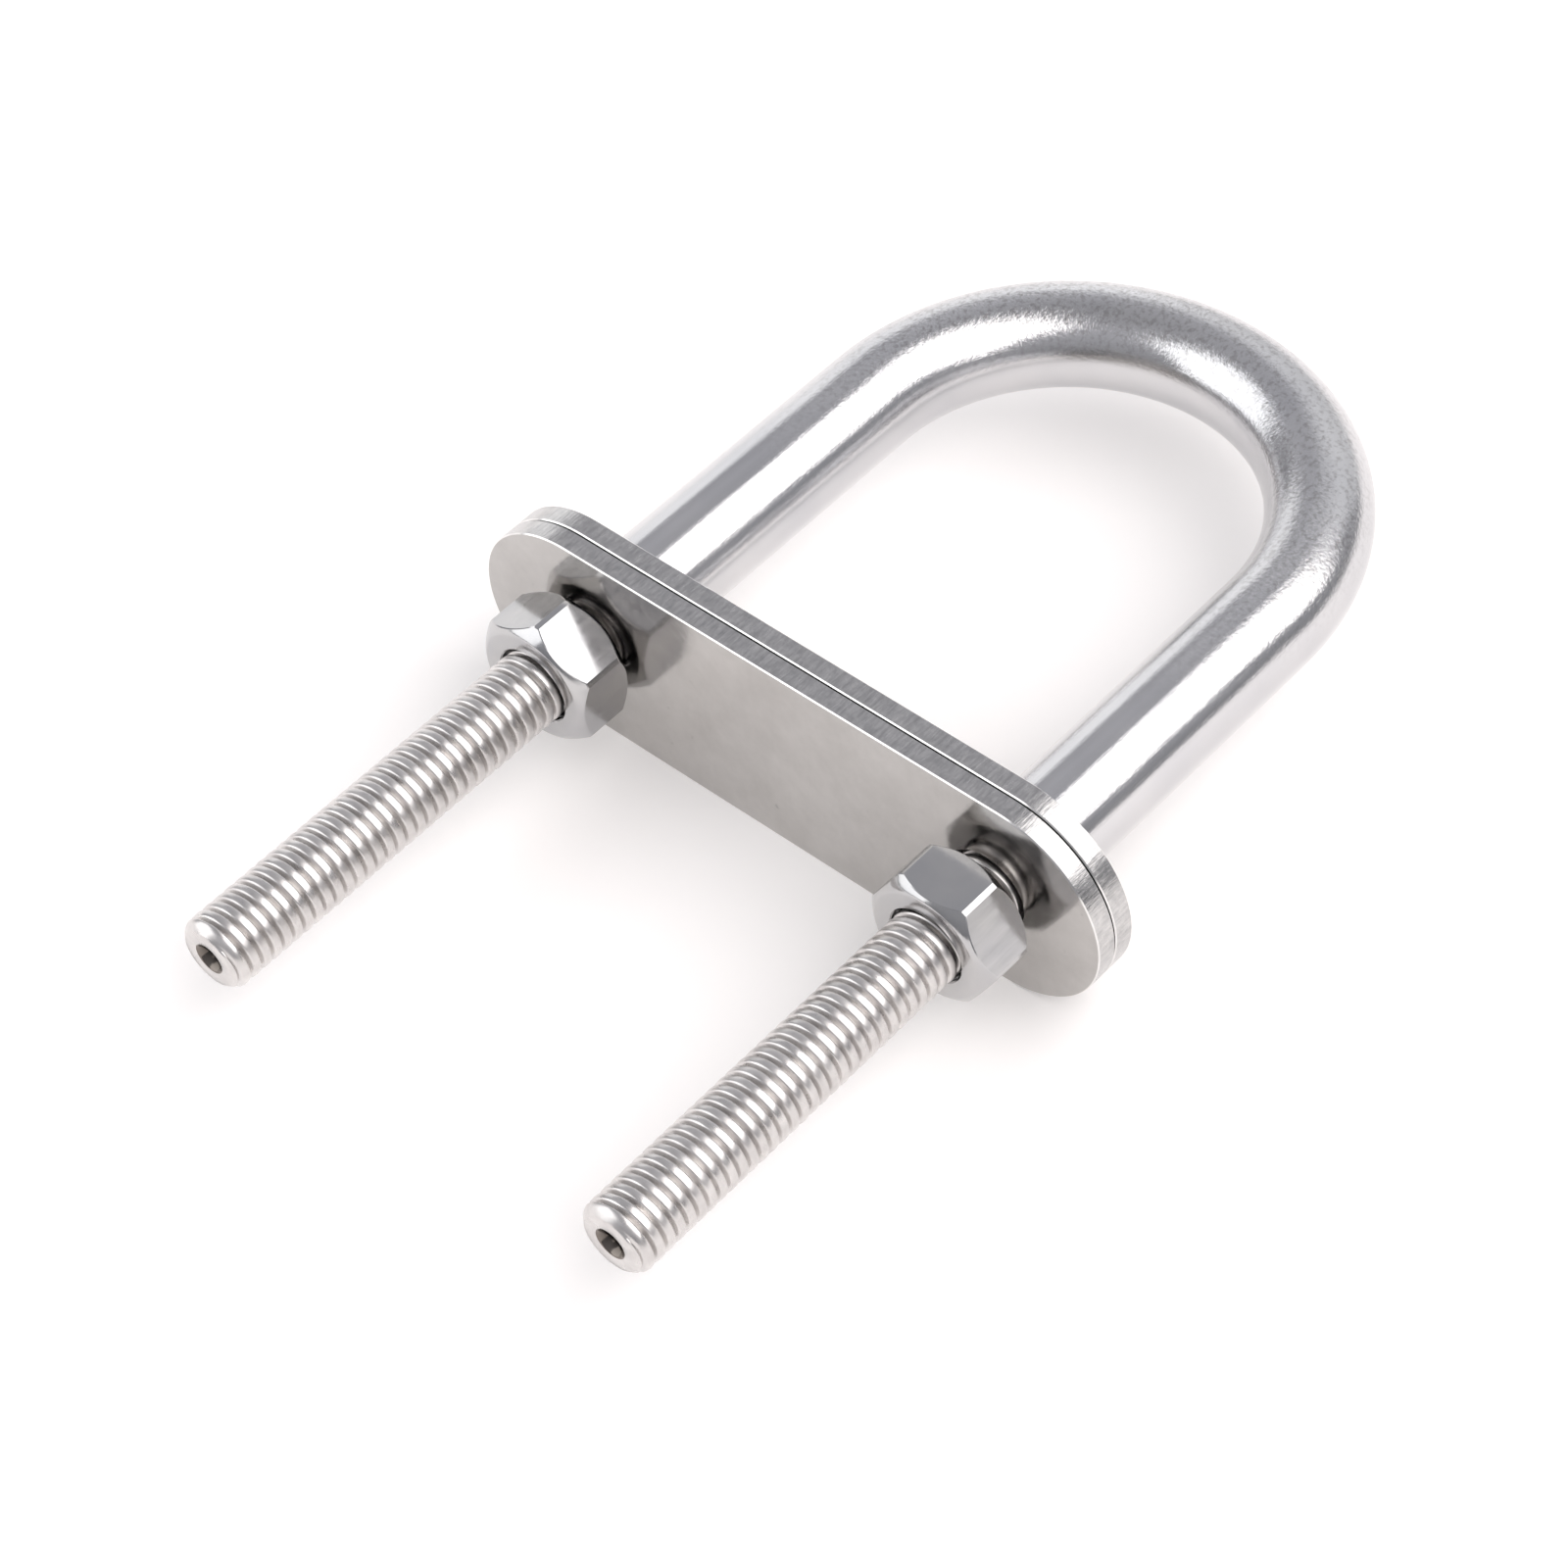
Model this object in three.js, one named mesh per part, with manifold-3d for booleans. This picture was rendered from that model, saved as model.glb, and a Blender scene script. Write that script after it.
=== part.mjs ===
// A U-bolt for fastening through a panel or a deck: a bent round rod whose two legs are
// threaded, two round-ended clamp plates on the legs, and a hexagon nut on each leg.
// Millimetres. +X runs along the legs towards the bow, +Y across the legs, +Z up.
// The part lies on its side: the plates stand on their long edges, on the plane Z = 0.
// The origin is the middle of the upper plate's lower long edge.

import * as THREE from "three";
import { mergeVertices } from "three/addons/utils/BufferGeometryUtils.js";
import Module from "manifold-3d";

const wasm = await Module();
wasm.setup();

// ---- driving dimensions -------------------------------------------------------------

// the bent rod
const ROD_DIAMETER = 8.1;
const LEG_SPACING = 37.2; // between the two leg axes, so also the bow's centreline diameter
const BOW_CENTRE_X = 28.9; // where the straight shanks meet the half-circle of the bow
const LEG_TIP_X = -40.3;
const ROD_SIDES = 20;
const ROD_STEPS = 42; // an even number, so that one ring is at the top of the bow

// the threads: 6 mm coarse, right-handed, the same on both legs
const PITCH = 1.0;
const THREAD_DIAMETER = 5.8;
const THREAD_DEPTH = 0.6;
const CREST_FLAT = 0.14;
const NECK_DIAMETER = 5.3; // the plain neck between the shoulder and the first thread
const THREAD_END_X = -0.6; // inside the upper plate
const TAPER_LENGTH = 0.5; // of the pointed ends that the booleans cut off or bury
const THREAD_SIDES = 12; // flats in one turn
const TIP_CHAMFER = 0.4;
const CENTRE_HOLE_DIAMETER = 2.7;
const CENTRE_HOLE_DEPTH = 2.2; // to the point of its cone

// the two clamp plates
const PLATE_LENGTH = 56.8;
const PLATE_HEIGHT = 17.3;
const PLATE_THICKNESS = 1.72;
const PLATE_BEVEL = 0.14;
const PLATE_BORE_DIAMETER = 6.5;
const PLATE_GAP = 0.1; // between the two plates
const SHOULDER_GAP = 0.2; // between the upper plate and the rod's shoulders

// the hexagon nuts
const NUT_ACROSS_FLATS = 9.7;
const NUT_CORNER_DIAMETER = 10.96; // across the turned-down corners
const NUT_HEIGHT = 5.0;
const NUT_FACE_DIAMETER = 8.9; // the flat left inside the corner chamfers
const NUT_CHAMFER_ANGLE = 41; // degrees from the face
const NUT_THREAD_CLEARANCE = 0.22; // radial, to the rod's thread
const COUNTERSINK_DIAMETER = 6.4;
const BARREL_SIDES = 48;
const NUTS = {
  left_nut: { y: LEG_SPACING / 2, x: -5.85, cornerAngle: 33 },
  right_nut: { y: -LEG_SPACING / 2, x: -6.6, cornerAngle: 1 },
};

const LEG_HEIGHT = PLATE_HEIGHT / 2; // of the leg axes above the plane the part lies on
const SHOULDER_X = PLATE_THICKNESS / 2 + SHOULDER_GAP;
const LOWER_PLATE_X = -(PLATE_THICKNESS + PLATE_GAP);
const THREAD_RADIUS = THREAD_DIAMETER / 2;
const ROOT_RADIUS = THREAD_RADIUS - THREAD_DEPTH;

// ---- solids -------------------------------------------------------------------------

/** A closed solid of a closed three.js geometry, for joining and cutting. */
function solidOf(geometry) {
  const bare = geometry.clone();
  bare.deleteAttribute("normal");
  bare.deleteAttribute("uv");
  const merged = mergeVertices(bare, 1e-5);
  const corners = merged.index.array;
  const triVerts = [];
  for (let i = 0; i < corners.length; i += 3) {
    const [a, b, c] = corners.slice(i, i + 3);
    if (a !== b && b !== c && c !== a) {
      triVerts.push(a, b, c); // a triangle that merging has collapsed is left out
    }
  }
  return new wasm.Manifold(
    new wasm.Mesh({
      numProp: 3,
      vertProperties: merged.attributes.position.array,
      triVerts: new Uint32Array(triVerts),
    }),
  );
}

/** The three.js geometry of a solid. */
function geometryOf(solid) {
  const mesh = solid.getMesh();
  const geometry = new THREE.BufferGeometry();
  geometry.setAttribute("position", new THREE.BufferAttribute(mesh.vertProperties, 3));
  geometry.setIndex(new THREE.BufferAttribute(mesh.triVerts, 1));
  geometry.computeVertexNormals();
  return geometry;
}

/** A solid of revolution about X, from [x, radius] points that start and end on the axis. */
function turned(profile, sides) {
  const points = profile.map(([x, radius]) => new THREE.Vector2(radius, x));
  return solidOf(new THREE.LatheGeometry(points, sides).rotateZ(-Math.PI / 2));
}

/**
 * A bar with a right-handed thread about X, from the crest at fromX on. It is a turned bar
 * whose rings are sheared along X by one pitch in each turn, so that its crests and roots
 * follow the helix and its last column meets its first one pitch further on. Both ends
 * taper to a point on the axis, one pitch in from where the rings start and stop.
 */
function threadedBar({ fromX, turns, clearance }) {
  const ringsInTurn = [
    { offset: -CREST_FLAT / 2, radius: THREAD_RADIUS + clearance },
    { offset: CREST_FLAT / 2, radius: THREAD_RADIUS + clearance },
    { offset: PITCH / 2, radius: ROOT_RADIUS + clearance },
  ];
  const rings = [];
  for (let turn = 0; turn < turns; turn += 1) {
    for (const { offset, radius } of ringsInTurn) {
      rings.push(new THREE.Vector2(radius, fromX + turn * PITCH + offset));
    }
  }
  const lastRing = ringsInTurn[0];
  rings.push(new THREE.Vector2(lastRing.radius, fromX + turns * PITCH + lastRing.offset));

  const lowX = fromX + PITCH;
  const highX = fromX + turns * PITCH + lastRing.offset;
  const bar = new THREE.LatheGeometry(rings, THREAD_SIDES);
  const position = bar.attributes.position;
  for (let column = 0; column <= THREAD_SIDES; column += 1) {
    const angle = (column / THREAD_SIDES) * 2 * Math.PI;
    rings.forEach((ring, row) => {
      const helixX = ring.y + (column / THREAD_SIDES) * PITCH;
      const x = THREE.MathUtils.clamp(helixX, lowX, highX);
      const taper = Math.min(1, (x - lowX) / TAPER_LENGTH, (highX - x) / TAPER_LENGTH);
      const radius = ring.x * taper;
      const index = column * rings.length + row;
      position.setXYZ(index, x, radius * Math.cos(angle), radius * Math.sin(angle));
    });
  }
  return solidOf(bar);
}

/** The nearest place at or below x where the thread's crest crosses its zero angle. */
function crestBelow(x) {
  return Math.floor(x / PITCH) * PITCH;
}

// ---- the bent rod -------------------------------------------------------------------

/** The rod's centreline: up one shank, around the half-circle and down the other. */
class BowPath extends THREE.Curve {
  getPoint(t, target = new THREE.Vector3()) {
    const radius = LEG_SPACING / 2;
    const straight = BOW_CENTRE_X - SHOULDER_X;
    const arc = Math.PI * radius;
    const along = t * (2 * straight + arc);
    if (along < straight) {
      return target.set(SHOULDER_X + along, radius, 0);
    }
    if (along > straight + arc) {
      return target.set(SHOULDER_X + 2 * straight + arc - along, -radius, 0);
    }
    const angle = (along - straight) / radius;
    return target.set(BOW_CENTRE_X + radius * Math.sin(angle), radius * Math.cos(angle), 0);
  }
}

/** One leg below the shoulder, on the X axis: neck, thread, chamfered and centred tip. */
function legSolid() {
  const blendX = SHOULDER_X + 1; // the neck reaches this far into the shank
  const neck = turned(
    [
      [THREAD_END_X, 0],
      [THREAD_END_X, NECK_DIAMETER / 2],
      [blendX, NECK_DIAMETER / 2],
      [blendX, 0],
    ],
    2 * THREAD_SIDES,
  );
  const fromX = crestBelow(LEG_TIP_X) - PITCH;
  const turns = Math.round((crestBelow(THREAD_END_X) + PITCH - fromX) / PITCH);
  const thread = threadedBar({ fromX, turns, clearance: 0 });
  const reach = THREAD_RADIUS + 0.5; // clear of the crests
  const envelope = turned(
    [
      [LEG_TIP_X, 0],
      [LEG_TIP_X, THREAD_RADIUS - TIP_CHAMFER],
      [LEG_TIP_X + TIP_CHAMFER + 0.5, reach],
      [blendX + 1, reach],
      [blendX + 1, 0],
    ],
    2 * THREAD_SIDES,
  );
  const centreHole = turned(
    [
      [LEG_TIP_X - 1, 0],
      [LEG_TIP_X - 1, CENTRE_HOLE_DIAMETER / 2],
      [LEG_TIP_X, CENTRE_HOLE_DIAMETER / 2],
      [LEG_TIP_X + CENTRE_HOLE_DEPTH, 0],
    ],
    THREAD_SIDES,
  );
  return thread.add(neck).intersect(envelope).subtract(centreHole);
}

function rodGeometry() {
  const section = new THREE.Shape();
  section.absarc(0, 0, ROD_DIAMETER / 2, 0, 2 * Math.PI, false);
  const bow = new THREE.ExtrudeGeometry(section, {
    steps: ROD_STEPS,
    curveSegments: ROD_SIDES / 2,
    extrudePath: new BowPath(),
  });
  const leg = geometryOf(legSolid());
  let rod = solidOf(bow);
  for (const y of [LEG_SPACING / 2, -LEG_SPACING / 2]) {
    rod = rod.add(solidOf(leg.clone().translate(0, y, 0)));
  }
  return geometryOf(rod);
}

// ---- the clamp plates ---------------------------------------------------------------

/** A plate with round ends and a bore for each leg, bevelled on every edge, across X. */
function plateGeometry() {
  const endRadius = PLATE_HEIGHT / 2;
  const endCentre = PLATE_LENGTH / 2 - endRadius;
  const outline = new THREE.Shape();
  outline.absarc(endCentre, 0, endRadius, -Math.PI / 2, Math.PI / 2, false);
  outline.absarc(-endCentre, 0, endRadius, Math.PI / 2, (3 * Math.PI) / 2, false);
  for (const y of [LEG_SPACING / 2, -LEG_SPACING / 2]) {
    const bore = new THREE.Path();
    bore.absarc(y, 0, PLATE_BORE_DIAMETER / 2, 0, 2 * Math.PI, true);
    outline.holes.push(bore);
  }
  const straightWall = PLATE_THICKNESS - 2 * PLATE_BEVEL;
  const plate = new THREE.ExtrudeGeometry(outline, {
    depth: straightWall,
    curveSegments: 10,
    bevelThickness: PLATE_BEVEL,
    bevelSize: PLATE_BEVEL,
    bevelOffset: -PLATE_BEVEL,
    bevelSegments: 1,
  });
  plate.translate(0, 0, -straightWall / 2);
  const acrossLegs = new THREE.Vector3(0, 1, 0);
  const up = new THREE.Vector3(0, 0, 1);
  const alongLegs = new THREE.Vector3(1, 0, 0);
  return plate.applyMatrix4(new THREE.Matrix4().makeBasis(acrossLegs, up, alongLegs));
}

// ---- the nuts -----------------------------------------------------------------------

/** A nut on the X axis at its place along the leg, its thread in step with the leg's. */
function nutGeometry({ x, cornerAngle }) {
  const cornerRadius = NUT_ACROSS_FLATS / Math.sqrt(3);
  const hexagon = new THREE.CylinderGeometry(cornerRadius, cornerRadius, NUT_HEIGHT, 6);
  hexagon.rotateZ(-Math.PI / 2).rotateX(THREE.MathUtils.degToRad(cornerAngle - 30));
  hexagon.translate(x, 0, 0);

  const lowFace = x - NUT_HEIGHT / 2;
  const highFace = x + NUT_HEIGHT / 2;
  const faceRadius = NUT_FACE_DIAMETER / 2;
  const barrelRadius = NUT_CORNER_DIAMETER / 2;
  const chamferHeight =
    (barrelRadius - faceRadius) * Math.tan(THREE.MathUtils.degToRad(NUT_CHAMFER_ANGLE));
  const barrel = turned(
    [
      [lowFace, 0],
      [lowFace, faceRadius],
      [lowFace + chamferHeight, barrelRadius],
      [highFace - chamferHeight, barrelRadius],
      [highFace, faceRadius],
      [highFace, 0],
    ],
    BARREL_SIDES,
  );

  const fromX = crestBelow(lowFace) - 2 * PITCH;
  const turns = Math.round((crestBelow(highFace) + 3 * PITCH - fromX) / PITCH);
  const tap = threadedBar({ fromX, turns, clearance: NUT_THREAD_CLEARANCE });
  const rootRadius = ROOT_RADIUS + NUT_THREAD_CLEARANCE;
  const sinkRadius = COUNTERSINK_DIAMETER / 2;
  const sinkDepth = sinkRadius - rootRadius;
  const countersinks = turned(
    [
      [lowFace - 1, 0],
      [lowFace - 1, sinkRadius + 1],
      [lowFace + sinkDepth, rootRadius],
      [highFace - sinkDepth, rootRadius],
      [highFace + 1, sinkRadius + 1],
      [highFace + 1, 0],
    ],
    2 * THREAD_SIDES,
  );
  return geometryOf(solidOf(hexagon).intersect(barrel).subtract(tap).subtract(countersinks));
}

// ---- the assembly -------------------------------------------------------------------

const polishedRod = { color: 0xc9cacd, roughness: 0.16, metalness: 1 };
const satinPlate = { color: 0xc4c0bb, roughness: 0.3, metalness: 1 };
const brightNut = { color: 0xcfced0, roughness: 0.2, metalness: 1 };

function piece(name, geometry, surface) {
  const mesh = new THREE.Mesh(geometry, new THREE.MeshStandardMaterial(surface));
  mesh.name = name;
  return mesh;
}

const group = new THREE.Group();
group.position.z = LEG_HEIGHT;
group.add(piece("u_rod", rodGeometry(), polishedRod));
group.add(piece("upper_plate", plateGeometry(), satinPlate));

const lowerPlate = piece("lower_plate", plateGeometry(), satinPlate);
lowerPlate.position.x = LOWER_PLATE_X;
group.add(lowerPlate);

for (const [name, place] of Object.entries(NUTS)) {
  const nut = piece(name, nutGeometry(place), brightNut);
  nut.position.y = place.y;
  group.add(nut);
}

export default group;
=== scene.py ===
"""Looks for the U-bolt: a polished bent rod with threaded legs, two clamp plates and two nuts."""

import math

import bmesh
import bpy
from mathutils import Matrix, Vector


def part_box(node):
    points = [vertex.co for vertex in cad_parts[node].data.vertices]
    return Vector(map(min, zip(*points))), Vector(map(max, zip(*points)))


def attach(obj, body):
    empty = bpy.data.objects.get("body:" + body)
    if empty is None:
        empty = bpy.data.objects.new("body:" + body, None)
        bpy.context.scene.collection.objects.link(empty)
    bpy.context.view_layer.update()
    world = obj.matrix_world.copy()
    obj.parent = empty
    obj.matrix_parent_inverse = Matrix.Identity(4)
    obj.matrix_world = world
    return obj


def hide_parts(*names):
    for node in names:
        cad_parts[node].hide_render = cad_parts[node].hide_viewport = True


MM = 0.001
MERGE_DISTANCE = 0.002 * MM
COLLAPSED_LENGTH = 0.001 * MM

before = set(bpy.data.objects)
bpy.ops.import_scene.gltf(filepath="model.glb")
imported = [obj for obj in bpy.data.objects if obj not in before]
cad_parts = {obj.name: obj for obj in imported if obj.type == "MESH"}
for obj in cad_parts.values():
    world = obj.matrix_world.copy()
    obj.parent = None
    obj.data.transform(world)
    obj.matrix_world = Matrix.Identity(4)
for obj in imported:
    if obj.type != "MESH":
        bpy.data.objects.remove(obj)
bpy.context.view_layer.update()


# ---- sizes, in metres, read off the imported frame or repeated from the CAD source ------

upper_low, upper_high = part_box("upper_plate")
rod_low, rod_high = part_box("u_rod")

PLATE_HEIGHT = upper_high[2] - upper_low[2]
PLATE_LENGTH = upper_high[1] - upper_low[1]
LEG_HEIGHT = (upper_low[2] + upper_high[2]) / 2
PLATE_BEVEL = 0.09 * MM  # of the broken edges
BORE_RADIUS = 3.25 * MM

ROD_RADIUS = (rod_high[2] - rod_low[2]) / 2
LEG_OFFSET = rod_high[1] - ROD_RADIUS  # of each leg's axis from the middle plane
BOW_CENTRE_X = rod_high[0] - ROD_RADIUS - LEG_OFFSET
SHOULDER_GAP = 0.2 * MM  # from the upper plate
SHOULDER_X = upper_high[0] + SHOULDER_GAP
SHOULDER_CHAMFER = 0.3 * MM
LEG_TIP_X = rod_low[0]

PITCH = 1.0 * MM
THREAD_RADIUS = 2.9 * MM
ROOT_RADIUS = 2.42 * MM
CREST_SHARE = 0.65  # of the pitch, taken by the broad crest
CREST_DROP = 0.045 * MM  # from the crest's middle to its sides
ROOT_SHARE = 0.08  # of the pitch, taken by the level bottom of the groove
NECK_RADIUS = 2.65 * MM
NECK_OVERLAP = 0.5 * MM  # how far the neck runs on inside the shoulder
THREAD_END_X = -0.6 * MM  # where the neck is plain
THREAD_RUN_OUT = 0.6 * MM  # over which the thread fades into the neck
TIP_CHAMFER = 0.6 * MM  # how far in the rounded tip comes
TIP_LENGTH = 0.9 * MM
CENTRE_HOLE_RADIUS = 1.27 * MM
CENTRE_HOLE_EDGE = (0.08 * MM, 0.10 * MM)  # depth and width of its broken edge
CENTRE_HOLE_CONE = 0.95 * MM  # depth at which its cone meets the pilot drilling
PILOT_RADIUS = 0.75 * MM
PILOT_DEPTH = 2.3 * MM
PILOT_POINT_DEPTH = 2.6 * MM
PILOT_POINT_RADIUS = 0.01 * MM

NUT_FLAT = 4.85 * MM  # half the width across flats
NUT_CORNER_RADIUS = 5.48 * MM  # of the turned-down corners
NUT_FACE_RADIUS = 4.45 * MM
NUT_CHAMFER_SLOPE = math.tan(math.radians(41))
NUT_CHAMFER_CURVE = 1.35  # 1 would make the chamfer a straight cone
NUT_EDGE_WIDTH = 0.04 * MM  # of the broken edge between chamfer and side
NUT_EDGE_DEPTH = 0.088 * MM
NUT_CLEARANCE = 0.2 * MM
NUT_THREAD_START = 0.5 * MM  # how deep in the bore the thread starts to rise
NUT_THREAD_FADE = 0.8 * MM  # over which it reaches its full height
COUNTERSINK_RADIUS = 3.2 * MM
COUNTERSINK_EDGE = 0.02 * MM
NUT_CORNER_ANGLES = {"left_nut": 33, "right_nut": 1}  # of one corner, from +Y towards +Z


# ---- mesh helpers -----------------------------------------------------------------

def new_object(name, vertices, faces, smooth_below=35):
    """A mesh object with merged vertices, smooth but for edges sharper than the angle."""
    mesh = bpy.data.meshes.new(name)
    mesh.from_pydata([tuple(v) for v in vertices], [], faces)
    mesh.update()
    piece = bpy.data.objects.new(name, mesh)
    bpy.context.scene.collection.objects.link(piece)
    finish_mesh(piece, smooth_below)
    return piece


def finish_mesh(piece, smooth_below):
    """Merges doubled vertices, drops collapsed faces and sets the smooth shading."""
    mesh = piece.data
    work = bmesh.new()
    work.from_mesh(mesh)
    bmesh.ops.remove_doubles(work, verts=work.verts, dist=MERGE_DISTANCE)
    bmesh.ops.dissolve_degenerate(work, edges=work.edges, dist=COLLAPSED_LENGTH)
    bmesh.ops.recalc_face_normals(work, faces=work.faces)
    limit = math.radians(smooth_below)
    for edge in work.edges:
        sharp = len(edge.link_faces) != 2 or edge.calc_face_angle(0) > limit
        edge.smooth = not sharp
    for face in work.faces:
        face.smooth = True
    work.to_mesh(mesh)
    work.free()


def grid_faces(columns, rows, closed_columns):
    """Quads of a grid whose vertices run row by row inside each column."""
    faces = []
    last = columns if closed_columns else columns - 1
    for column in range(last):
        following = (column + 1) % columns
        for row in range(rows - 1):
            a = column * rows + row
            b = following * rows + row
            faces.append((a, a + 1, b + 1, b))
    return faces


def around_leg(x, radius, angle, y):
    """A point at a radius and angle around a leg's axis."""
    return (x, y + radius * math.cos(angle), LEG_HEIGHT + radius * math.sin(angle))


def mix(a, b, share):
    """The value a share of the way from a to b."""
    return a + (b - a) * share


def clamp(value, low, high):
    """The value kept between two limits."""
    return max(low, min(high, value))


# ---- the thread's form --------------------------------------------------------------

def thread_radius(phase):
    """Radius at a phase in pitches: a broad crest at whole numbers, a narrow root between."""
    away = abs((phase + 0.5) % 1 - 0.5) * 2  # 0 in the crest's middle, 1 in the root's
    if away < CREST_SHARE:
        return THREAD_RADIUS - CREST_DROP * (away / CREST_SHARE) ** 2
    flank = clamp((away - CREST_SHARE) / (1 - ROOT_SHARE - CREST_SHARE), 0, 1)
    return mix(THREAD_RADIUS - CREST_DROP, ROOT_RADIUS, flank)


def leg_thread(name, y):
    """The leg below the shoulder: neck, thread, rounded tip and centre-drilled hole.

    Its rings are sheared along X by one pitch in each turn, so they follow the helix.
    They start past the tip and end past the shoulder, and those outside collapse there.
    """
    columns = 48
    rings_in_turn = 14
    turns_before = 2
    turns_after = 1
    first = math.floor(LEG_TIP_X / PITCH - turns_before) * rings_in_turn
    last = math.ceil(SHOULDER_X / PITCH + turns_after) * rings_in_turn
    end_x = SHOULDER_X + NECK_OVERLAP
    vertices = []
    for column in range(columns):
        angle = 2 * math.pi * column / columns
        for ring in range(first, last + 1):
            phase = ring / rings_in_turn
            x = clamp((phase + column / columns) * PITCH, LEG_TIP_X, end_x)
            run_out = clamp((x - THREAD_END_X) / THREAD_RUN_OUT + 1, 0, 1)
            radius = mix(thread_radius(phase), NECK_RADIUS, run_out)
            from_tip = clamp((x - LEG_TIP_X) / TIP_LENGTH, 0, 1)
            tip_limit = THREAD_RADIUS - TIP_CHAMFER * (1 - from_tip) ** 2
            if x <= LEG_TIP_X:
                radius = tip_limit  # no groove in the end's outer edge
            radius = min(radius, tip_limit)
            vertices.append(around_leg(x, radius, angle, y))
    rows = last - first + 1
    faces = grid_faces(columns, rows, closed_columns=False)
    # the last column meets the first one pitch further on
    for ring in range(rows - 1 - rings_in_turn):
        a = (columns - 1) * rows + ring
        b = ring + rings_in_turn
        faces.append((a, a + 1, b + 1, b))

    # the flat end, the cone of the centre hole and the pilot drilling under it
    rim_start = len(vertices)
    edge_depth, edge_width = CENTRE_HOLE_EDGE
    rims = [
        (LEG_TIP_X, THREAD_RADIUS - TIP_CHAMFER),
        (LEG_TIP_X, CENTRE_HOLE_RADIUS),
        (LEG_TIP_X + edge_depth, CENTRE_HOLE_RADIUS - edge_width),
        (LEG_TIP_X + CENTRE_HOLE_CONE, PILOT_RADIUS),
        (LEG_TIP_X + PILOT_DEPTH, PILOT_RADIUS),
        (LEG_TIP_X + PILOT_POINT_DEPTH, PILOT_POINT_RADIUS),
    ]
    for column in range(columns):
        angle = 2 * math.pi * column / columns
        for x, radius in rims:
            vertices.append(around_leg(x, radius, angle, y))
    for face in grid_faces(columns, len(rims), closed_columns=True):
        faces.append(tuple(rim_start + index for index in face))
    return new_object(name, vertices, faces, smooth_below=50)


# ---- the bow ------------------------------------------------------------------------

def bow_point(along, radius, angle):
    """A point on the rod: how far along the centreline, and where around the section."""
    straight = BOW_CENTRE_X - SHOULDER_X
    arc = math.pi * LEG_OFFSET
    side, up = radius * math.cos(angle), radius * math.sin(angle)
    if along < straight:
        return (SHOULDER_X + along, LEG_OFFSET + side, LEG_HEIGHT + up)
    if along > straight + arc:
        x = SHOULDER_X + 2 * straight + arc - along
        return (x, -LEG_OFFSET - side, LEG_HEIGHT + up)
    turn = (along - straight) / LEG_OFFSET
    reach = LEG_OFFSET + side
    x = BOW_CENTRE_X + reach * math.sin(turn)
    return (x, reach * math.cos(turn), LEG_HEIGHT + up)


def bow_rod(name):
    """The smooth bow and shanks, with a chamfered shoulder at each end."""
    columns = 64
    steps = 150
    straight = BOW_CENTRE_X - SHOULDER_X
    arc = math.pi * LEG_OFFSET
    length = 2 * straight + arc
    inner_radius = NECK_RADIUS - 0.1 * MM  # just inside the neck
    stations = [(0, inner_radius), (0, ROD_RADIUS - SHOULDER_CHAMFER)]
    full_section = length - 2 * SHOULDER_CHAMFER
    for step in range(steps + 1):
        stations.append((SHOULDER_CHAMFER + full_section * step / steps, ROD_RADIUS))
    stations += [(length, ROD_RADIUS - SHOULDER_CHAMFER), (length, inner_radius)]
    vertices = []
    for column in range(columns):
        angle = 2 * math.pi * column / columns
        for along, radius in stations:
            vertices.append(bow_point(along, radius, angle))
    faces = grid_faces(columns, len(stations), closed_columns=True)
    rod = new_object(name, vertices, faces)

    # a map of distance along and around the rod, for the drawn grain
    grain = rod.data.uv_layers.new(name="grain")
    for loop in rod.data.loops:
        place = rod.data.vertices[loop.vertex_index].co
        if place.x > BOW_CENTRE_X:
            turn = math.atan2(place.x - BOW_CENTRE_X, place.y)
            along = straight + turn * LEG_OFFSET
            side = math.hypot(place.x - BOW_CENTRE_X, place.y) - LEG_OFFSET
        else:
            from_shoulder = place.x - SHOULDER_X
            along = from_shoulder if place.y > 0 else 2 * straight + arc - from_shoulder
            side = abs(place.y) - LEG_OFFSET
        around = abs(math.atan2(place.z - LEG_HEIGHT, side)) * ROD_RADIUS
        grain.data[loop.index].uv = (along / MM, around / MM)
    return rod


# ---- the plates ---------------------------------------------------------------------

def closed_outline(curve, points):
    """Adds a closed line through the points to a flat curve."""
    spline = curve.splines.new("POLY")
    spline.points.add(len(points) - 1)
    for point, (u, v) in zip(spline.points, points):
        point.co = (u, v, 0, 1)
    spline.use_cyclic_u = True


def arc_points(u, v, radius, start, end, count):
    """Points on an arc from one angle to another, in degrees."""
    points = []
    for step in range(count):
        angle = math.radians(mix(start, end, step / (count - 1)))
        points.append((u + radius * math.cos(angle), v + radius * math.sin(angle)))
    return points


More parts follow.
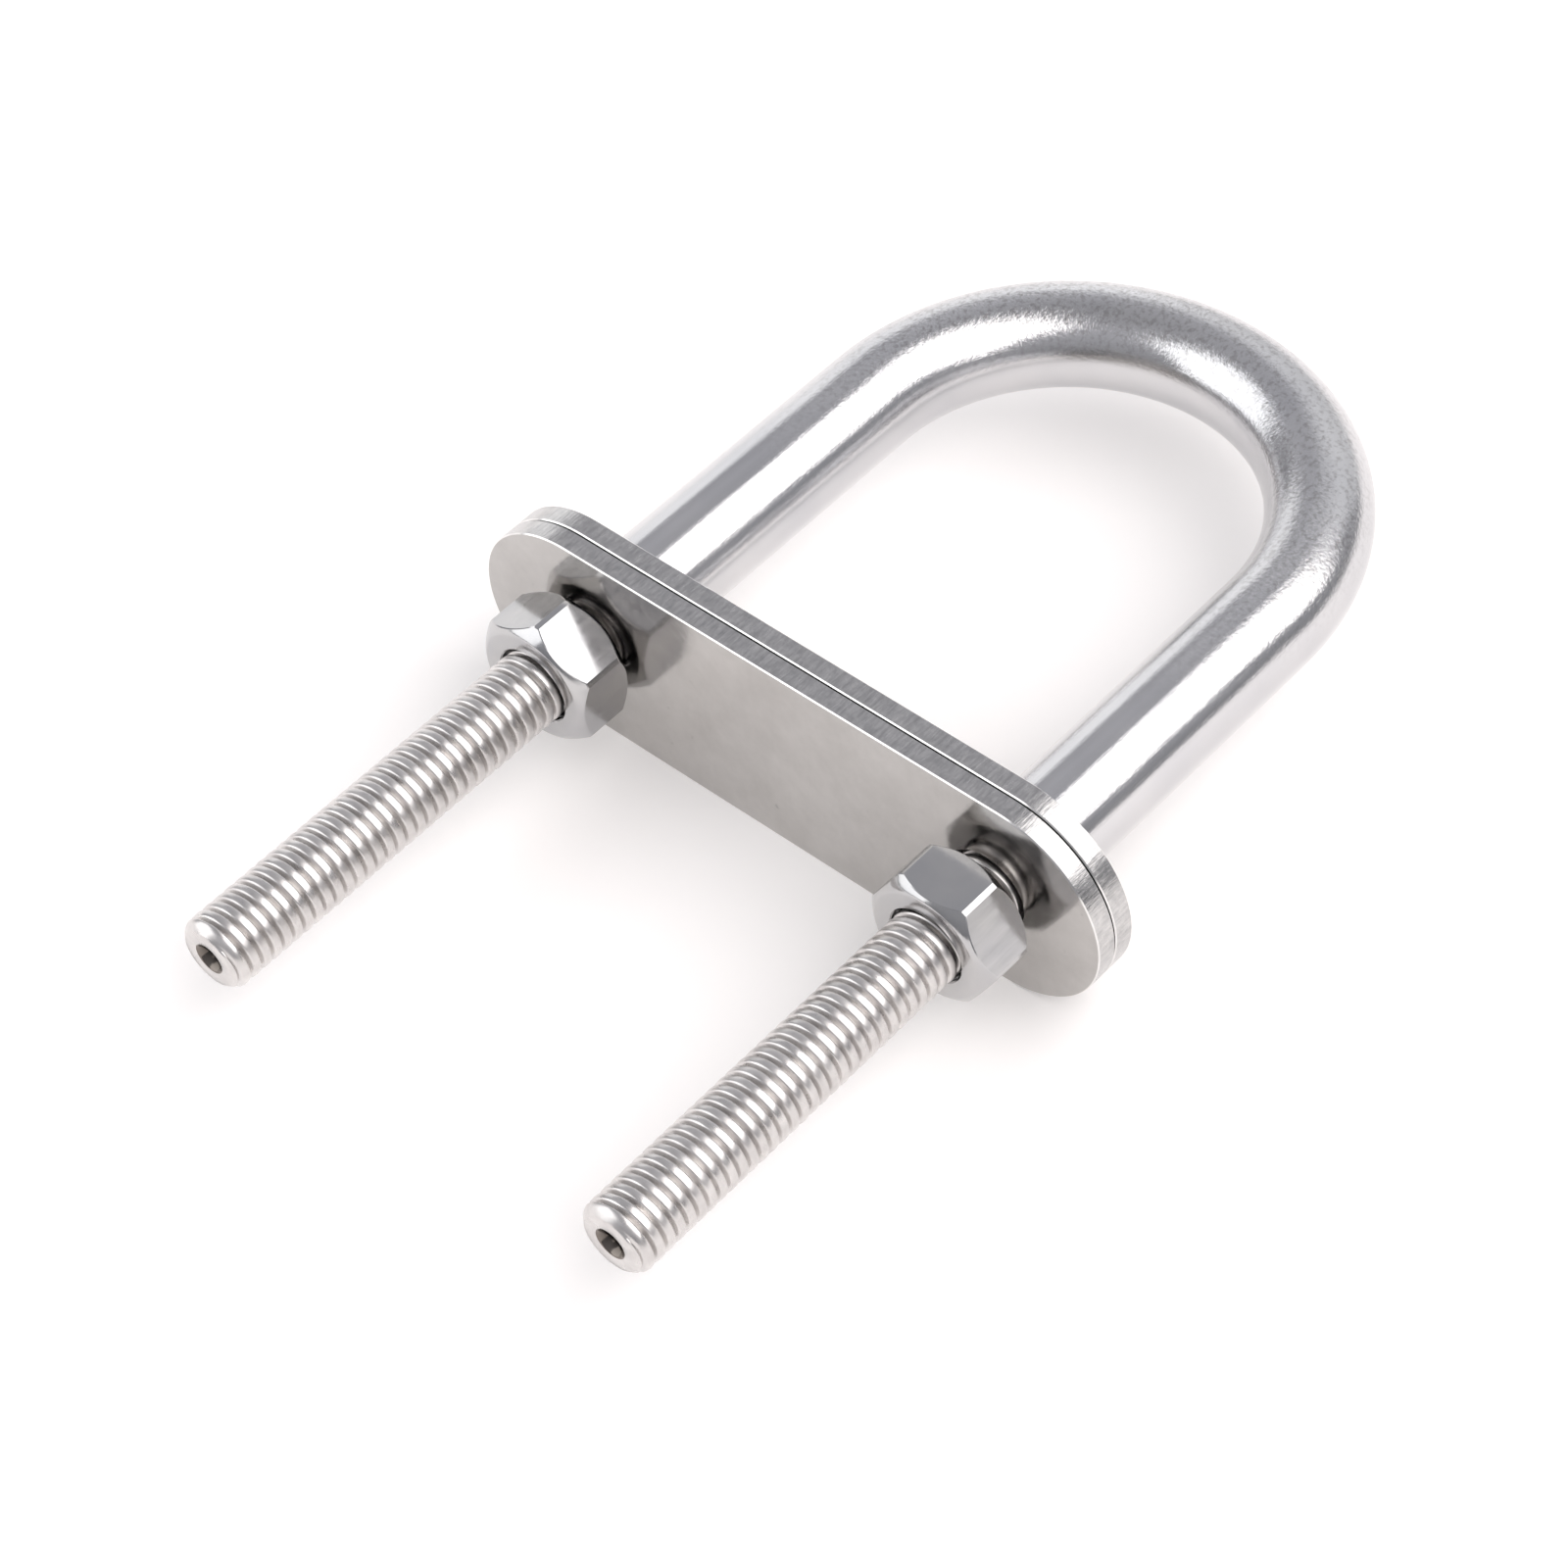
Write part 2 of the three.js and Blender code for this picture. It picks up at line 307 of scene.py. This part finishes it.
def clamp_plate(name, node):
    """A round-ended plate with broken edges and two bores, standing across the legs."""
    end_points = 49
    bore_points = 72
    low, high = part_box(node)
    thickness = high[0] - low[0]
    end_radius = PLATE_HEIGHT / 2
    end_centre = PLATE_LENGTH / 2 - end_radius
    curve = bpy.data.curves.new(name + "_outline", "CURVE")
    curve.dimensions = "2D"
    curve.fill_mode = "BOTH"
    curve.extrude = thickness / 2 - PLATE_BEVEL
    curve.bevel_depth = PLATE_BEVEL
    curve.bevel_resolution = 0
    curve.offset = -PLATE_BEVEL
    left_end = arc_points(end_centre, 0, end_radius, -90, 90, end_points)
    right_end = arc_points(-end_centre, 0, end_radius, 90, 270, end_points)
    closed_outline(curve, left_end + right_end)
    last_angle = 360 * (1 - 1 / bore_points)  # the line closes on its first point
    for y in (LEG_OFFSET, -LEG_OFFSET):
        closed_outline(curve, arc_points(y, 0, BORE_RADIUS, 0, last_angle, bore_points))
    outline = bpy.data.objects.new(name + "_outline", curve)
    bpy.context.scene.collection.objects.link(outline)
    bpy.context.view_layer.update()
    mesh = outline.to_mesh()
    middle = (low[0] + high[0]) / 2
    vertices = [(middle + v.co.z, v.co.x, LEG_HEIGHT + v.co.y) for v in mesh.vertices]
    faces = [tuple(polygon.vertices) for polygon in mesh.polygons]
    outline.to_mesh_clear()
    bpy.data.objects.remove(outline)
    return new_object(name, vertices, faces, smooth_below=28)


# ---- the nuts -----------------------------------------------------------------------

def hexagon_radius(from_corner):
    """Distance from the axis to the side of a hexagon with turned-down corners."""
    from_flat = (from_corner % (math.pi / 3)) - math.pi / 6
    return min(NUT_FLAT / math.cos(from_flat), NUT_CORNER_RADIUS)


def nut_shoulder(side):
    """The chamfer's profile out to a side, as (drop from the face, radius) points.

    It starts level with the face and steepens outwards, and ends in a small broken edge.
    """
    steps = 6
    width = NUT_CORNER_RADIUS - NUT_FACE_RADIUS
    profile = []
    for step in range(steps + 1):
        radius = mix(NUT_FACE_RADIUS, side - NUT_EDGE_WIDTH, (step / steps) ** 2)
        outward = (radius - NUT_FACE_RADIUS) / width
        profile.append((NUT_CHAMFER_SLOPE * width * outward ** NUT_CHAMFER_CURVE, radius))
    profile.append((profile[-1][0] + NUT_EDGE_DEPTH, side))
    return profile


def hexagon_nut(name, node, corner_angle, y):
    """A hexagon nut with both faces rounded off and countersunk, and a threaded bore."""
    flat_columns = 15
    corner_share = 0.6  # of the half corner, for the columns beside its middle
    bore_rows = 100
    low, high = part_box(node)
    low_x, high_x = low[0], high[0]
    middle_x = (low_x + high_x) / 2
    half = (high_x - low_x) / 2
    land = math.pi / 6 - math.acos(NUT_FLAT / NUT_CORNER_RADIUS)  # half a corner's width
    angles = []
    for facet in range(6):
        corner = facet * math.pi / 3
        angles += [corner - land * corner_share, corner, corner + land * corner_share]
        next_corner = corner + math.pi / 3
        for step in range(flat_columns):
            share = step / (flat_columns - 1)
            angles.append(mix(corner + land, next_corner - land, share))
    angles.sort()
    vertices = []
    for angle in angles:
        world_angle = angle + math.radians(corner_angle)
        side = hexagon_radius(angle)
        shoulder = nut_shoulder(side)
        face_inside = COUNTERSINK_RADIUS + COUNTERSINK_EDGE
        outside = [(high_x, face_inside)]
        outside += [(high_x - drop, radius) for drop, radius in shoulder]
        outside += [(low_x + drop, radius) for drop, radius in reversed(shoulder)]
        outside += [(low_x, face_inside)]
        for x, radius in outside:
            vertices.append(around_leg(x, radius, world_angle, y))
        for row in range(bore_rows + 1):
            x = mix(low_x, high_x, row / bore_rows)
            phase = x / PITCH - world_angle / (2 * math.pi)
            depth = half - abs(x - middle_x)
            full = clamp((depth - NUT_THREAD_START) / NUT_THREAD_FADE, 0, 1)
            threaded = mix(THREAD_RADIUS, thread_radius(phase), full) + NUT_CLEARANCE
            radius = max(threaded, COUNTERSINK_RADIUS - depth)
            vertices.append(around_leg(x, radius, world_angle, y))
    rows = len(outside) + bore_rows + 1
    faces = grid_faces(len(angles), rows, closed_columns=True)
    # the bore's last row meets the first one of the outside
    for column in range(len(angles)):
        following = (column + 1) % len(angles)
        a = column * rows + rows - 1
        b = following * rows + rows - 1
        faces.append((a, column * rows, following * rows, b))
    nut = new_object(name, vertices, faces, smooth_below=17)
    for polygon in nut.data.polygons:
        across = [nut.data.vertices[index].co.x for index in polygon.vertices]
        if max(across) - min(across) > half:
            polygon.use_smooth = False  # the sides of the hexagon are flat to their edges
    return nut


# ---- materials ----------------------------------------------------------------------

class Nodes:
    """A few shorthands for building one material's nodes."""

    def __init__(self, name):
        self.material = bpy.data.materials.new(name)
        self.material.use_nodes = True
        self.tree = self.material.node_tree
        self.shader = self.tree.nodes["Principled BSDF"]

    def add(self, kind, **settings):
        """A new node with its settings, such as a mix node's blend type."""
        node = self.tree.nodes.new(kind)
        for key, value in settings.items():
            setattr(node, key, value)
        return node

    def link(self, source, target):
        self.tree.links.new(source, target)

    def coordinates(self, scale, uv=None):
        """Object coordinates, or a UV map's, stretched by a scale on each axis."""
        if uv:
            source = self.add("ShaderNodeUVMap", uv_map=uv).outputs["UV"]
        else:
            source = self.add("ShaderNodeTexCoord").outputs["Object"]
        mapping = self.add("ShaderNodeMapping")
        mapping.inputs["Scale"].default_value = scale
        self.link(source, mapping.inputs["Vector"])
        return mapping.outputs["Vector"]

    def noise(self, scale, detail=3.0, roughness=0.55, uv=None):
        """Noise as fine on each axis as its scale, in lumps to the metre or map unit."""
        node = self.add("ShaderNodeTexNoise")
        node.inputs["Scale"].default_value = 1.0
        node.inputs["Detail"].default_value = detail
        node.inputs["Roughness"].default_value = roughness
        self.link(self.coordinates(scale, uv), node.inputs["Vector"])
        return node.outputs["Fac"]

    def along(self, axis, start, end):
        """0 up to one place on an axis, rising to 1 at another."""
        split = self.add("ShaderNodeSeparateXYZ")
        self.link(self.coordinates((1, 1, 1)), split.inputs["Vector"])
        reach = self.add("ShaderNodeMapRange")
        reach.inputs["From Min"].default_value = start
        reach.inputs["From Max"].default_value = end
        self.link(split.outputs[axis], reach.inputs["Value"])
        return reach.outputs["Result"]

    def multiply(self, colour, other, share=None):
        """One colour darkened by another, wholly or by a share that varies."""
        node = self.add("ShaderNodeMix", data_type="RGBA", blend_type="MULTIPLY")
        node.inputs["Factor"].default_value = 1.0
        self.link(colour, node.inputs["A"])
        self.link(other, node.inputs["B"])
        if share:
            self.link(share, node.inputs["Factor"])
        return node.outputs["Result"]

    def ramp(self, value, stops):
        """A colour ramp of (position, grey or colour) stops."""
        node = self.add("ShaderNodeValToRGB")
        elements = node.color_ramp.elements
        while len(elements) < len(stops):
            elements.new(0.5)
        for element, (position, colour) in zip(elements, stops):
            if not isinstance(colour, tuple):
                colour = (colour, colour, colour)
            element.position = position
            element.color = (*colour, 1)
        self.link(value, node.inputs["Fac"])
        return node.outputs["Color"]

    def bump(self, height, distance, strength, below=None):
        """A bump whose strength is a number or a node's output, on top of another bump."""
        node = self.add("ShaderNodeBump")
        node.inputs["Distance"].default_value = distance
        if isinstance(strength, float):
            node.inputs["Strength"].default_value = strength
        else:
            self.link(strength, node.inputs["Strength"])
        self.link(height, node.inputs["Height"])
        if below:
            self.link(below, node.inputs["Normal"])
        return node.outputs["Normal"]

    def steel(self, colour, roughness, normal=None):
        """Finishes the material as bare metal and returns it."""
        self.shader.inputs["Metallic"].default_value = 1.0
        self.link(colour, self.shader.inputs["Base Color"])
        self.link(roughness, self.shader.inputs["Roughness"])
        if normal:
            self.link(normal, self.shader.inputs["Normal"])
        return self.material


def polished_rod_steel():
    """Bright rod: fine grain drawn along it, and a pebbled skin on top of its bend."""
    nodes = Nodes("rod_polished_steel")
    bend = nodes.along("X", BOW_CENTRE_X - 14 * MM, BOW_CENTRE_X + 6 * MM)
    top = nodes.along("Z", LEG_HEIGHT + 0.5 * MM, LEG_HEIGHT + 3.5 * MM)
    pebbled = nodes.multiply(bend, top)
    grain = nodes.noise((0.12, 5.0, 1.0), detail=4, uv="grain")
    pebble = nodes.noise((3400, 3400, 3400), detail=4, roughness=0.6)
    cloud = nodes.noise((90, 90, 90), detail=3)
    specks = nodes.noise((2300, 2300, 2300), detail=3, roughness=0.65)
    base = nodes.ramp(cloud, [(0.3, (0.60, 0.60, 0.615)), (0.7, (0.68, 0.675, 0.68))])
    dark = nodes.ramp(specks, [(0.34, (0.74, 0.73, 0.72)), (0.52, 1.0)])
    colour = nodes.multiply(base, dark, share=pebbled)
    roughness = nodes.ramp(grain, [(0.3, 0.10), (0.7, 0.22)])
    depth = nodes.ramp(pebbled, [(0.0, 0.18), (1.0, 0.66)])
    skin = nodes.bump(pebble, 0.05 * MM, strength=depth)
    normal = nodes.bump(grain, 0.012 * MM, 0.5, below=skin)
    return nodes.steel(colour, roughness, normal)


def rolled_thread_steel():
    """Bright rolled thread, a little uneven from turn to turn."""
    nodes = Nodes("thread_rolled_steel")
    cloud = nodes.noise((700, 700, 700), detail=3)
    wear = nodes.noise((1800, 400, 400), detail=2)
    colour = nodes.ramp(cloud, [(0.3, (0.59, 0.57, 0.56)), (0.7, (0.72, 0.70, 0.685))])
    roughness = nodes.ramp(wear, [(0.3, 0.24), (0.7, 0.38)])
    normal = nodes.bump(cloud, 0.02 * MM, 0.5)
    return nodes.steel(colour, roughness, normal)


def drilled_steel_painted_shade():
    """The centre hole: dull, dark steel with painted shade that gets darker the deeper it goes.
    """
    nodes = Nodes("drilled_steel_painted_shade")
    rings = nodes.noise((5000, 600, 600), detail=2)
    # painted shade: the colour falls from dark to near black with depth into the hole
    deep = nodes.along("X", LEG_TIP_X + 0.1 * MM, LEG_TIP_X + 0.9 * MM)
    colour = nodes.ramp(deep, [(0.0, (0.19, 0.168, 0.15)), (1.0, (0.03, 0.026, 0.022))])
    roughness = nodes.ramp(rings, [(0.3, 0.12), (0.7, 0.22)])
    return nodes.steel(colour, roughness)


def plate_face_steel():
    """Satin polish that still mirrors, with faint warm clouds and a few tiny pits."""
    nodes = Nodes("plate_face_steel")
    cloud = nodes.noise((260, 260, 260), detail=6, roughness=0.7)
    speck = nodes.noise((900, 900, 900), detail=1)
    polish = nodes.noise((1400, 1400, 1400), detail=4)
    base = nodes.ramp(cloud, [(0.32, (0.475, 0.46, 0.445)), (0.68, (0.545, 0.53, 0.515))])
    pits = nodes.ramp(speck, [(0.18, 0.78), (0.25, 1.0)])
    roughness = nodes.ramp(polish, [(0.3, 0.11), (0.7, 0.18)])
    normal = nodes.bump(polish, 0.006 * MM, 0.5)
    return nodes.steel(nodes.multiply(base, pits), roughness, normal)


def plate_rim_steel():
    """Sheared rim: fine marks across the plate's thickness."""
    nodes = Nodes("plate_rim_steel")
    marks = nodes.noise((700, 4600, 4600), detail=4, roughness=0.65)
    cloud = nodes.noise((1300, 1300, 1300), detail=4, roughness=0.7)
    base = nodes.ramp(cloud, [(0.32, (0.52, 0.515, 0.515)), (0.68, (0.67, 0.66, 0.65))])
    shade = nodes.ramp(marks, [(0.34, 0.80), (0.60, 1.0)])
    roughness = nodes.ramp(marks, [(0.3, 0.16), (0.7, 0.28)])
    normal = nodes.bump(marks, 0.03 * MM, 0.7)
    return nodes.steel(nodes.multiply(base, shade), roughness, normal)


def plate_edge_steel_painted_highlight():
    """The broken edge between face and rim, polished smoother by tumbling, with a painted
    highlight in its lighter colour.
    """
    nodes = Nodes("plate_edge_steel_painted_highlight")
    cloud = nodes.noise((900, 900, 900), detail=2)
    # painted highlight: a colour much lighter than the face's and the rim's
    colour = nodes.ramp(cloud, [(0.3, (0.74, 0.73, 0.72)), (0.7, (0.84, 0.83, 0.82))])
    roughness = nodes.ramp(cloud, [(0.3, 0.08), (0.7, 0.18)])
    return nodes.steel(colour, roughness)


def nut_steel():
    """Bright nut, with drawn marks along its flats."""
    nodes = Nodes("nut_bright_steel")
    marks = nodes.noise((200, 1600, 1600), detail=3)
    cloud = nodes.noise((250, 250, 250), detail=3)
    colour = nodes.ramp(cloud, [(0.3, (0.49, 0.49, 0.50)), (0.7, (0.56, 0.555, 0.55))])
    roughness = nodes.ramp(marks, [(0.3, 0.10), (0.7, 0.18)])
    normal = nodes.bump(marks, 0.004 * MM, 0.4)
    return nodes.steel(colour, roughness, normal)


def give(piece, *materials):
    """Puts the materials in the piece's slots, in order."""
    piece.data.materials.clear()
    for material in materials:
        piece.data.materials.append(material)


def paint_leg(piece, y, materials):
    """The thread's material, but inside the centre hole the drilled one with its painted shade.
    """
    give(piece, *materials)
    for polygon in piece.data.polygons:
        from_axis = math.hypot(polygon.center.y - y, polygon.center.z - LEG_HEIGHT)
        in_hole = from_axis < CENTRE_HOLE_RADIUS and polygon.center.x > LEG_TIP_X
        polygon.material_index = 1 if in_hole else 0


def paint_plate(piece, materials):
    """Face, rim and broken-edge materials, by which way each face of the mesh looks."""
    least_of_face = 0.995
    most_of_rim = 0.08
    give(piece, *materials)
    for polygon in piece.data.polygons:
        facing = abs(polygon.normal.x)
        if facing > least_of_face:
            polygon.material_index = 0
        elif facing < most_of_rim:
            polygon.material_index = 1
        else:
            polygon.material_index = 2


# ---- camera, light and floor --------------------------------------------------------

CAMERA_AT = Vector((-141.54, -139.09, 230.38)) * MM
CAMERA_LOOKS_AT = Vector((-4.157, -1.623, 8.65)) * MM
CAMERA_ROLL = math.radians(-4.95)
CAMERA_LENS = 97.33
CAMERA_SENSOR_WIDTH = 36

LIGHT_DISTANCE = 1.0
LIT_POINT = Vector((5 * MM, 0, LEG_HEIGHT))

FLOOR_HALF_WIDTH = 1.5
FLOOR_GAP = 0.02 * MM  # between the floor and the plates' lower edges
FLOOR_WHITE_UP_TO = -0.16  # on Y: to the right of it the floor fades,
FLOOR_GREY_FROM = -0.36  # and from here on it is grey


def add_camera():
    """A long lens above the legs' ends, looking down at the part a little rolled."""
    data = bpy.data.cameras.new("camera")
    data.lens = CAMERA_LENS
    data.sensor_width = CAMERA_SENSOR_WIDTH
    data.clip_start = 0.01
    data.clip_end = 20
    camera = bpy.data.objects.new("camera", data)
    bpy.context.scene.collection.objects.link(camera)
    aim = (CAMERA_LOOKS_AT - CAMERA_AT).to_track_quat("-Z", "Y").to_matrix().to_4x4()
    camera.matrix_world = (
        Matrix.Translation(CAMERA_AT) @ aim @ Matrix.Rotation(CAMERA_ROLL, 4, "Z")
    )
    bpy.context.scene.camera = camera


def add_soft_box(name, azimuth, elevation, size, brightness, colour=(1, 1, 1)):
    """A rectangular soft box aimed at the part, which the camera doesn't see.

    Its azimuth is measured from +X towards +Y, in degrees, and its brightness is that of
    its face.
    """
    data = bpy.data.lights.new(name, "AREA")
    data.shape = "RECTANGLE"
    data.size, data.size_y = size
    data.energy = brightness * math.pi * size[0] * size[1]
    data.color = colour
    light = bpy.data.objects.new(name, data)
    bpy.context.scene.collection.objects.link(light)
    level = LIGHT_DISTANCE * math.cos(math.radians(elevation))
    offset = Vector((
        level * math.cos(math.radians(azimuth)),
        level * math.sin(math.radians(azimuth)),
        LIGHT_DISTANCE * math.sin(math.radians(elevation)),
    ))
    light.location = LIT_POINT + offset
    light.rotation_euler = (-offset).to_track_quat("-Z", "Y").to_euler()
    light.visible_camera = False


def add_world():
    """A dim, slightly blue grey room, lightest between the horizon and overhead."""
    greys = [
        (0.0, (0.30, 0.30, 0.315, 1)),
        (0.75, (0.515, 0.515, 0.545, 1)),
        (1.0, (0.375, 0.375, 0.395, 1)),
    ]
    world = bpy.data.worlds.new("studio")
    bpy.context.scene.world = world
    world.use_nodes = True
    tree = world.node_tree
    background = tree.nodes["Background"]
    coordinates = tree.nodes.new("ShaderNodeTexCoord")
    split = tree.nodes.new("ShaderNodeSeparateXYZ")
    ramp = tree.nodes.new("ShaderNodeValToRGB")
    tree.links.new(coordinates.outputs["Generated"], split.inputs["Vector"])
    tree.links.new(split.outputs["Z"], ramp.inputs["Fac"])
    tree.links.new(ramp.outputs["Color"], background.inputs["Color"])
    stops = ramp.color_ramp.elements
    stops.new(0.5)
    for stop, (position, colour) in zip(stops, greys):
        stop.position = position
        stop.color = colour
    background.inputs["Strength"].default_value = 1.0


def add_floor():
    """A matt white floor, which fades to grey well to the right of the part."""
    size = FLOOR_HALF_WIDTH
    corners = [(-size, -size, 0), (size, -size, 0), (size, size, 0), (-size, size, 0)]
    floor = new_object("floor", corners, [(0, 1, 2, 3)])
    nodes = Nodes("floor_white")
    nodes.shader.inputs["Roughness"].default_value = 0.9
    nodes.shader.inputs["Specular IOR Level"].default_value = 0.2
    near = nodes.along("Y", FLOOR_GREY_FROM, FLOOR_WHITE_UP_TO)
    shade = nodes.ramp(near, [(0, (0.22, 0.22, 0.22)), (1, (0.93, 0.908, 0.895))])
    nodes.link(shade, nodes.shader.inputs["Base Color"])
    nodes.shader.inputs["Emission Color"].default_value = (1, 0.995, 0.985, 1)
    nodes.shader.inputs["Emission Strength"].default_value = 0.14
    give(floor, nodes.material)
    floor.location.z = upper_low[2] - FLOOR_GAP


def add_lights():
    """Two soft boxes light the part, and two dim panels behind it show in its steel."""
    add_soft_box("right_soft_box", -71, 52, (1.35, 1.04), 2.3, (1, 0.965, 0.95))
    add_soft_box("left_soft_box", 131, 28, (1.0, 0.95), 1.5)
    add_soft_box("backdrop_glow", 53, 9, (0.75, 0.60), 0.80)
    add_soft_box("backdrop_side_glow", 10, 20, (0.90, 0.85), 0.40)


# ---- the pieces ---------------------------------------------------------------------

add_camera()
add_world()
add_floor()
add_lights()

rod_steel = polished_rod_steel()
leg_materials = (rolled_thread_steel(), drilled_steel_painted_shade())
plate_materials = (plate_face_steel(), plate_rim_steel(), plate_edge_steel_painted_highlight())
nut_material = nut_steel()

bow = bow_rod("bow_and_shanks")
give(bow, rod_steel)
left_leg = leg_thread("left_leg_thread", LEG_OFFSET)
right_leg = leg_thread("right_leg_thread", -LEG_OFFSET)
for piece, y in ((left_leg, LEG_OFFSET), (right_leg, -LEG_OFFSET)):
    paint_leg(piece, y, leg_materials)
for piece in (bow, left_leg, right_leg):
    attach(piece, "bolt")
    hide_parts("u_rod")

for node, body in (("upper_plate", "bolt"), ("lower_plate", "sliding_plate")):
    plate = clamp_plate(node + "_polished", node)
    paint_plate(plate, plate_materials)
    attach(plate, body)
    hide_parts(node)

for node, y in (("left_nut", LEG_OFFSET), ("right_nut", -LEG_OFFSET)):
    nut = hexagon_nut(node + "_bright", node, NUT_CORNER_ANGLES[node], y)
    give(nut, nut_material)
    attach(nut, node)
    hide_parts(node)

bpy.context.scene.view_settings.view_transform = "Standard"
